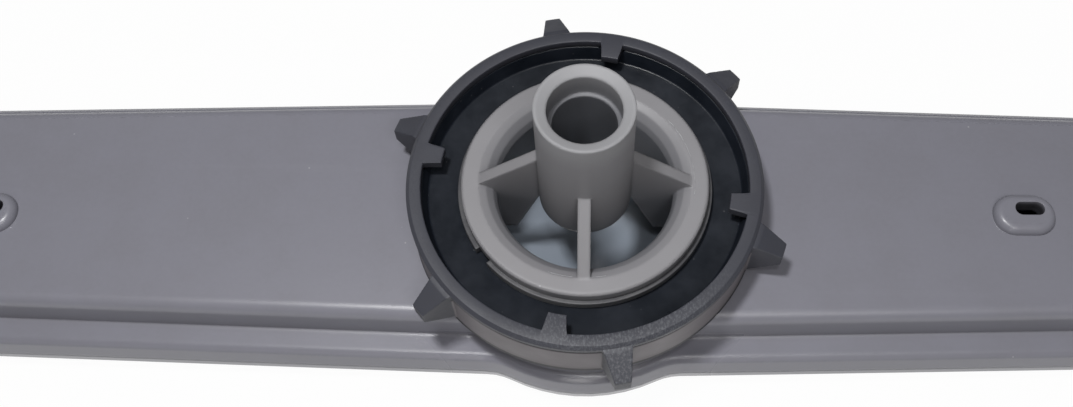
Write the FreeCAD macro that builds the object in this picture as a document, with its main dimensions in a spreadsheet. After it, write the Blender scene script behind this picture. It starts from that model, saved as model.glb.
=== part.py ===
import FreeCAD, Part

import math
import os

import Sketcher

# Dishwasher spray arm: two welded half shells, a hub clipped into the upper one,
# and a bayonet ring nut that turns on the hub. Millimetres, +Z is the hub side,
# X runs along the arm, the origin is on the hub axis in the flat spray face.

SIZES = {
    # arm outline
    "arm_length": 470.0,
    "half_width": 32.2,
    "tip_half_width": 25.8,
    "tip_corner": 17.0,
    "bulge_radius": 36.3,
    "bulge_blend": 12.0,
    # arm section
    "wall": 2.2,
    "spray_depth": 6.0,
    "flange_height": 5.5,
    "plateau_height": 8.5,
    "ledge_width": 5.9,
    "boss_radius": 33.6,
    "boss_blend": 6.0,
    "side_draft": 8.0,
    "step_draft": 2.0,
    "ledge_bevel": 1.0,
    "plateau_round": 2.4,
    "spray_bevel": 2.2,
    # collar that carries the hub and the nut
    "collar_height": 2.9,
    "collar_radius": 24.5,
    "opening_radius": 20.2,
    # small bevel on the round pieces' edges
    "edge_bevel": 0.4,
    # spray nozzles
    "slot_length": 6.2,
    "slot_width": 3.1,
    "dome_length": 12.6,
    "dome_width": 8.8,
    "dome_height": 1.9,
    "dome_bevel": 1.2,
    "dome_shift": 0.9,
    "dish_length": 11.0,
    "dish_width": 7.6,
    "dish_depth": 0.9,
    "right_nozzle_x": 92.9,
    "right_nozzle_y": -0.4,
    "left_nozzle_x": 125.0,
    "left_nozzle_y": -2.1,
    "right_tip_inset": 25.0,
    "left_tip_inset": 45.0,
    "outer_pitch": 42.0,
    "middle_pitch": 50.0,
    "inner_pitch": 52.0,
    "spray_stagger": 6.0,
    # hub
    "hub_flange_radius": 25.0,
    "hub_flange_thickness": 2.5,
    "throat_radius": 18.0,
    "throat_lead": 2.6,
    "throat_ease": 0.9,
    "neck_wall": 2.0,
    "journal_radius": 21.3,
    "neck_depth": 9.9,
    "hook_width": 8.0,
    "hook_height": 3.6,
    "hook_reach": 1.3,
    "hook_slot": 1.2,
    "hook_slot_height": 6.5,
    # tube and ribs
    "tube_height": 28.3,
    "tube_radius": 9.4,
    "tube_length": 33.3,
    "mouth_dip": 1.25,
    "tube_bore": 6.15,
    "counterbore": 7.0,
    "counterbore_depth": 6.4,
    "rib_count": 4,
    "rib_thickness": 2.5,
    "rib_rise": 11.0,
    "rib_foot_radius": 14.6,
    "rib_sink": 0.3,
    # ring nut
    "nut_radius": 36.0,
    "nut_mouth_radius": 33.0,
    "nut_height": 12.7,
    "nut_groove": 0.6,
    "nut_lip": 1.9,
    "rim_bevel": 0.6,
    "skirt_wall": 2.2,
    "skirt_gap": 0.3,
    "web_thickness": 2.5,
    "lug_count": 6,
    "lug_angle": 40.5,
    "lug_reach": 6.0,
    "lug_tip_width": 3.2,
    "lug_root_width": 5.8,
    "lug_root_round": 1.8,
    "lug_tip_round": 0.8,
    "lug_drop": 3.5,
    "lug_tip_height": 7.0,
    "lug_root_height": 11.2,
    "tab_count": 4,
    "tab_angle": 80.5,
    "tab_width": 4.1,
    "tab_length": 3.7,
    "tab_round": 0.6,
    # channel seal and slide ring
    "seal_floor": 2.0,
    "seal_wall": 1.0,
    "seal_lean": 0.4,
    "seal_notch_depth": 1.4,
    "slide_height": 1.9,
    "slide_radius": 25.8,
    "slide_gap_angle": 8.0,
    "slide_gap_place": 218.0,
    # clearances
    "running_gap": 0.2,
    "journal_gap": 0.3,
    "seat_gap": 0.05,
    "clip_gap": 0.1,
    # how far a form is sunk into the one that carries it, or cut past its edge
    "overlap": 1.0,
}

# two heights or places closer than this are the same
SAME = 0.001
# an oval's corner radius as a share of half its width
END_SHARE = 0.96

doc = FreeCAD.newDocument("spray_arm")
sheet = doc.addObject("Spreadsheet::Sheet", "sizes")
for row, (name, number) in enumerate(SIZES.items(), start=1):
    sheet.set(f"A{row}", name)
    sheet.set(f"B{row}", str(number))
    sheet.setAlias(f"B{row}", name)
doc.recompute()


class Size:
    """A number together with the expression that gives it from the sheet."""

    def __init__(self, text, value):
        self.text = text
        self.value = value

    def __add__(self, other):
        other = as_size(other)
        return Size(f"({self.text} + {other.text})", self.value + other.value)

    def __sub__(self, other):
        other = as_size(other)
        return Size(f"({self.text} - {other.text})", self.value - other.value)

    def __mul__(self, other):
        other = as_size(other)
        return Size(f"({self.text} * {other.text})", self.value * other.value)

    def __truediv__(self, other):
        other = as_size(other)
        return Size(f"({self.text} / {other.text})", self.value / other.value)

    def __neg__(self):
        return Size(f"(0 - {self.text})", -self.value)


def as_size(thing):
    """Plain numbers stand for themselves."""
    if isinstance(thing, Size):
        return thing
    return Size(repr(float(thing)), float(thing))


def size(alias):
    """The sheet cell with this alias."""
    return Size(f"sizes.{alias}", float(sheet.get(alias)))


def bind(feature, path, amount):
    """Tie one property of a feature to the sheet."""
    feature.setExpression(path, as_size(amount).text)


def new_body(label):
    """An empty body whose label names its file."""
    body = doc.addObject("PartDesign::Body", label)
    body.Label = label
    return body


def origin_feature(body, role):
    """The plane or axis of a body's own origin."""
    return [feature for feature in body.Origin.OriginFeatures if feature.Role == role][0]


def new_sketch(body, label, role, height=0.0, turn=0.0):
    """A sketch on an origin plane, lifted along Z and turned about Z."""
    sketch = body.newObject("Sketcher::SketchObject", label)
    sketch.AttachmentSupport = [(origin_feature(body, role), "")]
    sketch.MapMode = "FlatFace"
    upright = FreeCAD.Vector(0, 0, 1) if role == "XY_Plane" else FreeCAD.Vector(0, 1, 0)
    turn = as_size(turn)
    sketch.AttachmentOffset = FreeCAD.Placement(FreeCAD.Vector(), FreeCAD.Rotation(upright, turn.value))
    if turn.value:
        bind(sketch, "AttachmentOffset.Rotation.Angle", turn)
    if role == "XY_Plane":
        bind(sketch, "AttachmentOffset.Base.z", height)
    return sketch


def place_point(sketch, geometry, corner):
    """Tie the start of a line, or a point, to the sheet."""
    for axis, amount in zip("XY", corner):
        distance = Sketcher.Constraint("Distance" + axis, -1, 1, geometry, 1, amount.value)
        number = sketch.addConstraint(distance)
        name = f"place_{axis.lower()}_{geometry}"
        sketch.renameConstraint(number, name)
        bind(sketch, "Constraints." + name, amount)


def set_radius(sketch, geometry, radius):
    """Tie the radius of a circle or an arc to the sheet."""
    number = sketch.addConstraint(Sketcher.Constraint("Radius", geometry, radius.value))
    name = f"radius_{geometry}"
    sketch.renameConstraint(number, name)
    bind(sketch, "Constraints." + name, radius)


def corner_arc(before, corner, after, radius):
    """The arc that rounds a corner, and whether it turns left."""
    back = (before - corner).normalize()
    ahead = (after - corner).normalize()
    half_angle = back.getAngle(ahead) / 2
    middle = corner + (back + ahead).normalize() * (radius / math.sin(half_angle))
    entry = corner + back * (radius / math.tan(half_angle))
    leave = corner + ahead * (radius / math.tan(half_angle))
    turns_left = back.cross(ahead).z < 0
    start, end = (entry, leave) if turns_left else (leave, entry)
    start_angle = math.atan2(start.y - middle.y, start.x - middle.x)
    end_angle = math.atan2(end.y - middle.y, end.x - middle.x)
    circle = Part.Circle(middle, FreeCAD.Vector(0, 0, 1), radius)
    return Part.ArcOfCircle(circle, start_angle, end_angle), entry, leave, turns_left


def add_outline(sketch, corners):
    """A closed outline; each corner is across, along and, where it is rounded, its radius."""
    corners = [[as_size(amount) for amount in corner] for corner in corners]
    points = [FreeCAD.Vector(corner[0].value, corner[1].value, 0) for corner in corners]
    count = len(corners)
    arcs = {}
    entries = list(points)
    leaves = list(points)
    for index, corner in enumerate(corners):
        if len(corner) == 3:
            after = points[(index + 1) % count]
            arc, entries[index], leaves[index], left = corner_arc(
                points[index - 1], points[index], after, corner[2].value)
            arcs[index] = (arc, left)
    first = sketch.GeometryCount
    for index in range(count):
        sketch.addGeometry(Part.LineSegment(leaves[index], entries[(index + 1) % count]), False)
    for index, corner in enumerate(corners):
        line = first + index
        previous = first + (index - 1) % count
        if index not in arcs:
            sketch.addConstraint(Sketcher.Constraint("Coincident", previous, 2, line, 1))
            place_point(sketch, line, corner)
            continue
        arc, left = arcs[index]
        rounding = sketch.addGeometry(arc, False)
        tip = sketch.addGeometry(Part.Point(points[index]), True)
        place_point(sketch, tip, corner[:2])
        sketch.addConstraint(Sketcher.Constraint("PointOnObject", tip, 1, previous))
        sketch.addConstraint(Sketcher.Constraint("PointOnObject", tip, 1, line))
        arc_start, arc_end = (1, 2) if left else (2, 1)
        sketch.addConstraint(Sketcher.Constraint("Tangent", previous, 2, rounding, arc_start))
        sketch.addConstraint(Sketcher.Constraint("Tangent", rounding, arc_end, line, 1))
        set_radius(sketch, rounding, corner[2])


def add_circle(sketch, radius):
    """A circle about the hub axis."""
    radius = as_size(radius)
    circle = sketch.addGeometry(Part.Circle(FreeCAD.Vector(), FreeCAD.Vector(0, 0, 1), radius.value), False)
    sketch.addConstraint(Sketcher.Constraint("Coincident", circle, 3, -1, 1))
    set_radius(sketch, circle, radius)


def finish_feature(body, feature):
    """Recompute, keep the feature as the body's tip, and stop if it has failed."""
    body.Tip = feature
    doc.recompute()
    if "Invalid" in feature.State or "Error" in feature.State:
        raise RuntimeError(f"{body.Label}: {feature.Label} failed")
    return feature


def pad(body, label, sketch, length, down=False, both_sides=False):
    """Add the sketch's area along its normal."""
    feature = body.newObject("PartDesign::Pad", label)
    feature.Profile = sketch
    bind(feature, "Length", length)
    feature.Reversed = down
    feature.Midplane = both_sides
    return finish_feature(body, feature)


def pocket(body, label, sketch, length, up=False):
    """Cut the sketch's area, downwards or upwards from it."""
    feature = body.newObject("PartDesign::Pocket", label)
    feature.Profile = sketch
    bind(feature, "Length", length)
    feature.Reversed = up
    return finish_feature(body, feature)


def revolve(body, label, sketch, cut=False, angle=360.0):
    """Turn the sketch's area about the hub axis."""
    feature = body.newObject("PartDesign::Groove" if cut else "PartDesign::Revolution", label)
    feature.Profile = sketch
    feature.ReferenceAxis = (origin_feature(body, "Z_Axis"), [""])
    bind(feature, "Angle", angle)
    return finish_feature(body, feature)


def repeat_round(body, label, features, count):
    """Repeat features evenly round the hub axis."""
    feature = body.newObject("PartDesign::PolarPattern", label)
    feature.Originals = features
    feature.Axis = (origin_feature(body, "Z_Axis"), [""])
    feature.Angle = 360
    bind(feature, "Occurrences", count)
    return finish_feature(body, feature)


def round_edges(body, label, radius, wanted):
    """Fillet the edges of the tip that the test picks."""
    base = body.Tip
    names = [f"Edge{number}" for number, edge in enumerate(base.Shape.Edges, start=1) if wanted(edge)]
    feature = body.newObject("PartDesign::Fillet", label)
    feature.Base = (base, names)
    bind(feature, "Radius", radius)
    return finish_feature(body, feature)


def spans(thing, low, high):
    """Whether an edge or a face reaches exactly from one height to the other."""
    box = thing.BoundBox
    return abs(box.ZMin - low.value) < SAME and abs(box.ZMax - high.value) < SAME


def draft_walls(body, label, angle, foot, top):
    """Lean the upright walls between two heights inwards from their foot."""
    base = body.Tip
    faces = list(enumerate(base.Shape.Faces, start=1))
    low, high = (foot, top) if foot.value < top.value else (top, foot)
    walls = [f"Face{number}" for number, face in faces if spans(face, low, high)]
    level = [f"Face{number}" for number, face in faces if spans(face, foot, foot)]
    feature = body.newObject("PartDesign::Draft", label)
    feature.Base = (base, walls)
    feature.NeutralPlane = (base, level[:1])
    feature.Reversed = True
    bind(feature, "Angle", angle)
    return finish_feature(body, feature)


def bevel_edges(body, label, width, wanted):
    """Chamfer the edges of the tip that the test picks."""
    base = body.Tip
    names = [f"Edge{number}" for number, edge in enumerate(base.Shape.Edges, start=1) if wanted(edge)]
    feature = body.newObject("PartDesign::Chamfer", label)
    feature.Base = (base, names)
    bind(feature, "Size", width)
    return finish_feature(body, feature)


def is_flat_at(edge, height):
    """Whether an edge lies level at this height."""
    return spans(edge, height, height)


def is_upright(edge, low, high):
    """Whether an edge climbs from one height to the other, more up than along."""
    box = edge.BoundBox
    return spans(edge, low, high) and max(box.XLength, box.YLength) < box.ZLength / 2


def tops_a_wall(shape, edge, low, high):
    """Whether an edge borders a face that stands between the two heights."""
    return any(spans(face, low, high) for face in shape.ancestorsOfType(edge, Part.Face))


def reach_of(edge):
    """Distance of an edge's middle from the hub axis."""
    middle = edge.valueAt((edge.FirstParameter + edge.LastParameter) / 2)
    return math.hypot(middle.x, middle.y)


# heights, from the flat spray face up
spray_face = as_size(0)
parting = spray_face + size("spray_depth")
ledge = parting + size("flange_height")
plateau = ledge + size("plateau_height")
collar_top = plateau + size("collar_height")
web_bottom = collar_top + size("running_gap")
web_top = web_bottom + size("web_thickness")
seal_top = web_top + size("seal_floor")
slide_bottom = seal_top + size("running_gap")
slide_top = slide_bottom + size("slide_height")
hub_flange_bottom = slide_top + size("seat_gap")
hub_flange_top = hub_flange_bottom + size("hub_flange_thickness")
tube_top = hub_flange_top + size("tube_height")
tube_foot = tube_top - size("tube_length")
shell_roof = plateau - size("wall")
neck_bottom = collar_top - size("neck_depth")
nut_bottom = plateau + size("skirt_gap")
nut_top = nut_bottom + size("nut_height")
lip_bottom = nut_top - size("nut_lip")

# radii
neck_radius = size("throat_radius") + size("neck_wall")
web_bore = size("journal_radius") + size("journal_gap")
groove_radius = size("nut_mouth_radius") + size("nut_groove")

# nozzle places along and across the arm; each wing's jets are counted in from its tip,
# and the two tips differ so that the jets sweep different circles
half_length = size("arm_length") / 2
UPPER_NOZZLES = [
    (size("right_nozzle_x"), size("right_nozzle_y")),
    (-size("left_nozzle_x"), size("left_nozzle_y")),
]
right_first = half_length - size("right_tip_inset")
right_second = right_first - size("outer_pitch")
right_third = right_second - size("middle_pitch")
right_fourth = right_third - size("inner_pitch")
left_first = half_length - size("left_tip_inset")
left_second = left_first - size("outer_pitch")
left_third = left_second - size("middle_pitch")
stagger = size("spray_stagger")
SPRAY_NOZZLES = [
    (right_first, -stagger),
    (right_second, stagger),
    (right_third, -stagger),
    (right_fourth, stagger),
    (-left_first, -stagger),
    (-left_second, stagger),
    (-left_third, -stagger),
]


def add_arm_outline(sketch, inset):
    """The tapered outline of both wings, moved in from the parting edge."""
    reach = half_length - inset
    middle = size("half_width") - inset
    tip = size("tip_half_width") - inset
    corner = size("tip_corner") - inset
    add_outline(sketch, [
        (-reach, -tip, corner), (0, -middle), (reach, -tip, corner), (reach, tip, corner), (0, middle),
        (-reach, tip, corner)])


def add_wings(body, label, height, length, inset, centre_radius, down=False):
    """A pad of both wings and a round pad about the hub axis."""
    wings = new_sketch(body, label + "_wing_outline", "XY_Plane", height)
    add_arm_outline(wings, as_size(inset))
    pad(body, label + "_wings", wings, length, down)
    centre = new_sketch(body, label + "_centre_outline", "XY_Plane", height)
    add_circle(centre, centre_radius)
    pad(body, label + "_centre", centre, length, down)


def cut_wings(body, label, height, length, inset, centre_radius, up):
    """The same form as a cavity."""
    wings = new_sketch(body, label + "_wing_outline", "XY_Plane", height)
    add_arm_outline(wings, inset)
    pocket(body, label + "_wings", wings, length, up)
    centre = new_sketch(body, label + "_centre_outline", "XY_Plane", height)
    add_circle(centre, centre_radius)
    pocket(body, label + "_centre", centre, length, up)


def blend_centre(body, label, low, high, centre_radius, blend):
    """Blend the round centre into the wings."""
    near = (centre_radius + size("overlap")).value
    round_edges(body, label, blend, lambda edge: is_upright(edge, low, high) and reach_of(edge) < near)


def nozzle_outlines(body, label, height, places, length, width):
    """A sketch with one oval along the arm at each place, its ends nearly half round."""
    sketch = new_sketch(body, label, "XY_Plane", height)
    along = length / 2
    across = width / 2
    end = across * END_SHARE
    for x, y in places:
        add_outline(sketch, [
            (x - along, y - across, end), (x + along, y - across, end),
            (x + along, y + across, end), (x - along, y + across, end)])
    return sketch


def cut_slots(body, places, top, depth):
    """Spray slots cut down through a wall."""
    slots = nozzle_outlines(body, "slots", top, places, size("slot_length"), size("slot_width"))
    pocket(body, "slot_cut", slots, depth)


def build_upper_shell():
    """The visible half: ledge, raised plateau, collar round the hub and two nozzles."""
    body = new_body("upper_shell")
    inset = size("ledge_width")
    add_wings(body, "plateau", ledge, size("plateau_height"), inset, size("boss_radius"))
    blend_centre(body, "plateau_blends", ledge, plateau, size("boss_radius"), size("boss_blend"))
    draft_walls(body, "plateau_draft", size("step_draft"), ledge, plateau)
    round_edges(body, "plateau_edge", size("plateau_round"), lambda edge: is_flat_at(edge, plateau))
    add_wings(body, "flange", parting, size("flange_height"), 0, size("bulge_radius"))
    blend_centre(body, "flange_blends", parting, ledge, size("bulge_radius"), size("bulge_blend"))
    draft_walls(body, "flange_draft", size("side_draft"), parting, ledge)
    flange = body.Tip.Shape
    bevel_edges(body, "ledge_edge", size("ledge_bevel"),
                lambda edge: is_flat_at(edge, ledge) and tops_a_wall(flange, edge, parting, ledge))
    shift = size("dome_shift")
    dome_places = [(x - shift, y - shift) for x, y in UPPER_NOZZLES]
    dome_top = plateau + size("dome_height")
    domes = nozzle_outlines(body, "dome_outlines", plateau, dome_places,
                            size("dome_length"), size("dome_width"))
    pad(body, "domes", domes, size("dome_height"))
    bevel_edges(body, "dome_edges", size("dome_bevel"), lambda edge: is_flat_at(edge, dome_top))
    collar = new_sketch(body, "collar_outline", "XY_Plane", plateau)
    add_circle(collar, size("collar_radius"))
    pad(body, "collar", collar, size("collar_height"))
    bevel_edges(body, "collar_edge", size("edge_bevel"), lambda edge: is_flat_at(edge, collar_top))
    cut_wings(body, "low_cavity", parting, size("flange_height") - size("wall"), size("wall"),
              size("bulge_radius") - size("wall"), True)
    cut_wings(body, "high_cavity", parting, shell_roof - parting, inset + size("wall"),
              size("boss_radius") - size("wall"), True)
    opening = new_sketch(body, "opening_outline", "XY_Plane", collar_top)
    add_circle(opening, size("opening_radius"))
    pocket(body, "opening", opening, collar_top - parting)
    cut_slots(body, UPPER_NOZZLES, dome_top, dome_top - shell_roof + size("overlap"))
    return body


def build_spray_shell():
    """The hidden half: a shallow tray with spray slots in dished recesses."""
    body = new_body("spray_shell")
    add_wings(body, "tray", parting, size("spray_depth"), 0, size("bulge_radius"), down=True)
    blend_centre(body, "tray_blends", spray_face, parting, size("bulge_radius"), size("bulge_blend"))
    draft_walls(body, "tray_draft", size("side_draft"), parting, spray_face)
    bevel_edges(body, "tray_edge", size("spray_bevel"), lambda edge: is_flat_at(edge, spray_face))
    cut_wings(body, "tray_cavity", parting, size("spray_depth") - size("wall"), size("wall"),
              size("bulge_radius") - size("wall"), False)
    dishes = nozzle_outlines(body, "dish_outlines", spray_face, SPRAY_NOZZLES,
                             size("dish_length"), size("dish_width"))
    pocket(body, "dishes", dishes, size("dish_depth"), up=True)
    cut_slots(body, SPRAY_NOZZLES, parting, parting)
    return body


def build_hub():
    """Throat, flange, four deep ribs and the stepped centre tube, moulded in one."""
    body = new_body("hub")
    throat = size("throat_radius")
    journal = size("journal_radius")
    flange_radius = size("hub_flange_radius")
    in_throat = throat - size("overlap")
    neck = new_sketch(body, "neck_profile", "XZ_Plane")
    add_outline(neck, [
        (throat, neck_bottom), (neck_radius, neck_bottom), (neck_radius, collar_top), (journal, collar_top),
        (journal, hub_flange_bottom), (flange_radius, hub_flange_bottom), (flange_radius, hub_flange_top),
        (throat, hub_flange_top)])
    revolve(body, "neck", neck)
    between = ((throat + flange_radius) / 2).value
    bevel_edges(body, "flange_edge", size("edge_bevel"),
                lambda edge: is_flat_at(edge, hub_flange_top) and edge.BoundBox.XMax > between)
    lead = size("throat_lead")
    bevel_edges(body, "throat_lead", lead,
                lambda edge: is_flat_at(edge, hub_flange_top) and edge.BoundBox.XMax < between)
    bevel_edges(body, "throat_ease", size("throat_ease"),
                lambda edge: edge.BoundBox.XMax < between and edge.BoundBox.XMax > in_throat.value
                and (is_flat_at(edge, hub_flange_top) or is_flat_at(edge, hub_flange_top - lead)))

    in_tube = size("tube_radius") - size("overlap")
    in_neck = throat + size("neck_wall") / 2
    lead_end = throat + lead + size("throat_ease")
    sunk = size("rib_sink")
    rib = new_sketch(body, "rib_profile", "XZ_Plane")
    add_outline(rib, [
        (in_tube, tube_foot), (in_tube, hub_flange_top + size("rib_rise")),
        (lead_end + sunk, hub_flange_top - sunk), (in_neck, hub_flange_bottom - size("overlap")),
        (in_neck, neck_bottom), (size("rib_foot_radius"), neck_bottom),
        (size("tube_radius"), tube_foot)])
    one_rib = pad(body, "rib", rib, size("rib_thickness"), both_sides=True)
    repeat_round(body, "ribs", [one_rib], size("rib_count"))

    step = tube_top - size("counterbore_depth")
    mouth = tube_top - size("mouth_dip")
    tube = new_sketch(body, "tube_profile", "XZ_Plane")
    add_outline(tube, [
        (size("tube_bore"), tube_foot), (size("tube_radius"), tube_foot), (size("tube_radius"), tube_top),
        (size("counterbore"), mouth), (size("counterbore"), step), (size("tube_bore"), step)])
    revolve(body, "tube", tube)
    bevel_edges(body, "tube_edge", size("edge_bevel"), lambda edge: is_flat_at(edge, tube_top))

    between_ribs = as_size(180) / size("rib_count")
    hook_top = shell_roof - size("clip_gap")
    hook_bottom = hook_top - size("hook_height")
    hook_root = neck_radius - size("neck_wall") / 2
    hook_tip = neck_radius + size("hook_reach")
    hook = new_sketch(body, "hook_profile", "XZ_Plane", turn=between_ribs)
    add_outline(hook, [
        (hook_root, hook_bottom), (neck_radius, hook_bottom), (hook_tip, hook_top - size("hook_reach") / 2),
        (hook_tip, hook_top), (hook_root, hook_top)])
    one_hook = pad(body, "hook", hook, size("hook_width"), both_sides=True)
    repeat_round(body, "hooks", [one_hook], size("rib_count"))

    inner = throat - size("overlap")
    outer = hook_tip + size("overlap")
    near = size("hook_width") / 2
    far = near + size("hook_slot")
    slots = new_sketch(body, "hook_slot_outline", "XY_Plane", neck_bottom, turn=between_ribs)
    add_outline(slots, [(inner, near), (outer, near), (outer, far), (inner, far)])
    add_outline(slots, [(inner, -far), (outer, -far), (outer, -near), (inner, -near)])
    one_pair = pocket(body, "hook_slot", slots, size("hook_slot_height"), up=True)
    repeat_round(body, "hook_slots", [one_pair], size("rib_count"))
    return body


def build_ring_nut():
    """The bayonet ring: rim, carrying web, six grip lugs outside and four tabs inside."""
    body = new_body("ring_nut")
    outside = size("nut_radius")
    mouth = size("nut_mouth_radius")
    skirt = outside - size("skirt_wall")
    ring = new_sketch(body, "ring_profile", "XZ_Plane")
    add_outline(ring, [
        (web_bore, web_bottom), (skirt, web_bottom), (skirt, nut_bottom), (outside, nut_bottom),
        (outside, nut_top), (mouth, nut_top), (mouth, lip_bottom), (groove_radius, lip_bottom),
        (groove_radius, web_top), (web_bore, web_top)])
    revolve(body, "ring", ring)

    tip = outside + size("lug_reach")
    inner = outside - size("overlap")
    outer = tip + size("overlap")
    root_half = size("lug_root_width") / 2
    tip_half = size("lug_tip_width") / 2
    lug = new_sketch(body, "lug_outline", "XY_Plane", nut_bottom, turn=size("lug_angle"))
    add_outline(lug, [(inner, -root_half), (outer, -tip_half), (outer, tip_half), (inner, root_half)])
    one_lug = pad(body, "lug", lug, size("nut_height"))
    repeat_round(body, "lugs", [one_lug], size("lug_count"))
    over_tip = nut_top - size("lug_drop")
    under_tip = nut_top - size("lug_tip_height")
    under_root = nut_top - size("lug_root_height")
    below = nut_bottom - size("overlap")
    above = nut_top + size("overlap")
    slope_start = outside - size("rim_bevel")
    rim_edge = nut_top - size("lug_drop") * size("rim_bevel") / (tip - slope_start)
    beyond = outer + size("overlap")
    trim = new_sketch(body, "lug_trim_profile", "XZ_Plane")
    add_outline(trim, [
        (outside, below), (outside, under_root), (tip, under_tip), (tip, over_tip), (slope_start, nut_top),
        (slope_start, above), (beyond, above), (beyond, below)])
    revolve(body, "lug_trim", trim, cut=True)
    halfway = ((outside + tip) / 2).value
    round_edges(body, "lug_tips", size("lug_tip_round"),
                lambda edge: is_upright(edge, under_tip, over_tip) and reach_of(edge) > halfway)
    round_edges(body, "lug_roots", size("lug_root_round"),
                lambda edge: is_upright(edge, under_root, rim_edge) and reach_of(edge) < halfway)

    tab_end = mouth - size("tab_length")
    tab_half = size("tab_width") / 2
    tab_root = mouth + size("nut_groove") / 2
    tab = new_sketch(body, "tab_outline", "XY_Plane", lip_bottom, turn=size("tab_angle"))
    add_outline(tab, [(tab_end, -tab_half), (tab_root, -tab_half), (tab_root, tab_half), (tab_end, tab_half)])
    one_tab = pad(body, "tab", tab, size("nut_lip"))
    repeat_round(body, "tabs", [one_tab], size("tab_count"))
    inside = ((tab_end + mouth) / 2).value
    round_edges(body, "tab_ends", size("tab_round"),
                lambda edge: is_upright(edge, lip_bottom, nut_top) and reach_of(edge) < inside)
    return body


def build_channel_seal():
    """Black moulded rubber seal: a floor on the nut's web and a wall inside its rim."""
    body = new_body("channel_seal")
    outer = groove_radius - size("seat_gap")
    wall_top = lip_bottom - size("seat_gap")
    wall_inside = outer - size("seal_wall")
    profile = new_sketch(body, "seal_profile", "XZ_Plane")
    add_outline(profile, [
        (web_bore, web_top), (outer, web_top), (outer, wall_top), (wall_inside, wall_top),
        (wall_inside - size("seal_lean"), seal_top), (web_bore, seal_top)])
    revolve(body, "seal_ring", profile)
    half = size("tab_width") / 2
    inner = wall_inside - size("overlap")
    beyond = outer + size("overlap")
    notch = new_sketch(body, "notch_outline", "XY_Plane", wall_top, turn=size("tab_angle"))
    add_outline(notch, [(inner, -half), (beyond, -half), (beyond, half), (inner, half)])
    one_notch = pocket(body, "notch", notch, size("seal_notch_depth"))
    repeat_round(body, "notches", [one_notch], size("tab_count"))
    return body


def build_slide_ring():
    """Split bearing ring that lies round the hub under its flange."""
    body = new_body("slide_ring")
    bore = size("journal_radius") + size("clip_gap")
    start = size("slide_gap_place") + size("slide_gap_angle") / 2
    profile = new_sketch(body, "slide_profile", "XZ_Plane", turn=start)
    add_outline(profile, [
        (bore, slide_bottom), (size("slide_radius"), slide_bottom), (size("slide_radius"), slide_top),
        (bore, slide_top)])
    revolve(body, "slide", profile, angle=as_size(360) - size("slide_gap_angle"))
    return body


PIECES = [
    build_upper_shell(),
    build_spray_shell(),
    build_hub(),
    build_ring_nut(),
    build_channel_seal(),
    build_slide_ring(),
]

doc.recompute()
for thing in doc.Objects:
    if "Invalid" in thing.State or "Error" in thing.State:
        raise RuntimeError(f"{thing.Label} failed: {thing.State}")
for piece in PIECES:
    if piece.Shape.isNull() or not piece.Shape.isValid() or len(piece.Shape.Solids) != 1:
        raise RuntimeError(f"{piece.Label} has no sound solid")

os.makedirs("parts", exist_ok=True)
for piece in PIECES:
    piece.Shape.exportStep(f"parts/{piece.Label}.step")
    print(piece.Label, "volume", round(piece.Shape.Volume), "mm3")
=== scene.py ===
import math

import bmesh
import bpy
from mathutils import Matrix, Vector


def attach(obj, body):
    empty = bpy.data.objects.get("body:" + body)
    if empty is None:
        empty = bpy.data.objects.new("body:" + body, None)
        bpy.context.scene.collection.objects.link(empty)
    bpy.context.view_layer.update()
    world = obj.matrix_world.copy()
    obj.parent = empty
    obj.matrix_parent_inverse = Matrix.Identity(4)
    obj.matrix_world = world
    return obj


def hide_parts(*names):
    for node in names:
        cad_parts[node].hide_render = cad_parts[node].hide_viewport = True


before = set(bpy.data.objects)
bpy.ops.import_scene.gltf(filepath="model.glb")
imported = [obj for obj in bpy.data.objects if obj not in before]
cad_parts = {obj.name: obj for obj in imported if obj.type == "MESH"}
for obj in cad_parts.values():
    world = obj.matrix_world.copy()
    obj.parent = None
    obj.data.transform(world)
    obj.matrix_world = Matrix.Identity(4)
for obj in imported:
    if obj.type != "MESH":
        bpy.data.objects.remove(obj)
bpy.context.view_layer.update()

# the photograph's camera, in metres, degrees and photograph pixels
PHOTO_WIDTH = 1073
PHOTO_HEIGHT = 407
FOCAL_PIXELS = 1109.3
SENSOR_MM = 36.0
AZIMUTH = 0.951
ELEVATION = 62.354
ROLL = -0.324
DISTANCE = 0.22257
LOOK_AT = Vector((0.0, 0.0, 0.033))
LOOK_AT_PIXEL = (585.0, 177.9)
CLIP_START = 0.005

MM = 0.001
# points of one sheet nearer than this are joined, in metres
SEAM = 0.000002
# faces that meet at more than this angle keep a crisp edge, in degrees
SHARP_TURN = 40.0

# sizes of the ring nut and its seal, in millimetres and degrees
NUT_OUTSIDE = 36.0
NUT_MOUTH = 33.0
NUT_BOTTOM = 20.3
NUT_TOP = 33.0
NUT_SKIRT_INSIDE = 33.8
NUT_GROOVE = 33.6
WEB_BORE = 21.6
WEB_BOTTOM = 23.1
WEB_TOP = 25.6
LIP_BOTTOM = 31.1
RIM_BEVEL = 0.6
RIM_BAND = 1.75
RIM_STEP = 0.25
RIM_GROOVE = 0.50
GROOVE_HALF = 0.7
WALL_ROW = 0.35
RIM_ROLL = 0.7
LUG_COUNT = 6
LUG_PLACE = 40.5
LUG_REACH = 6.0
LUG_DROP = 3.5
LUG_UNDER_TIP = 7.0
LUG_UNDER_ROOT = 11.2
LUG_ROOT_HALF = 2.9
LUG_TIP_HALF = 1.6
TAB_COUNT = 4
TAB_PLACE = 80.5
TAB_HALF = 2.05
TAB_LENGTH = 3.7
SEAL_OUTSIDE = 33.55
SEAL_WALL = 0.65
SEAL_LEAN = 0.75
SEAL_TOP = 31.05
SEAL_FLOOR = 27.6
NOTCH_DEPTH = 1.4

# radii of the rounded edges, and how softly the lugs blend into what they meet, in millimetres
NUT_EDGE = 0.25
SEAL_EDGE = 0.45
LUG_TIP_BLEND = 0.5
LUG_TOP_BLEND = 0.35
LUG_UNDER_BLEND = 0.25
LUG_ROOT_BLEND = 0.6
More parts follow.
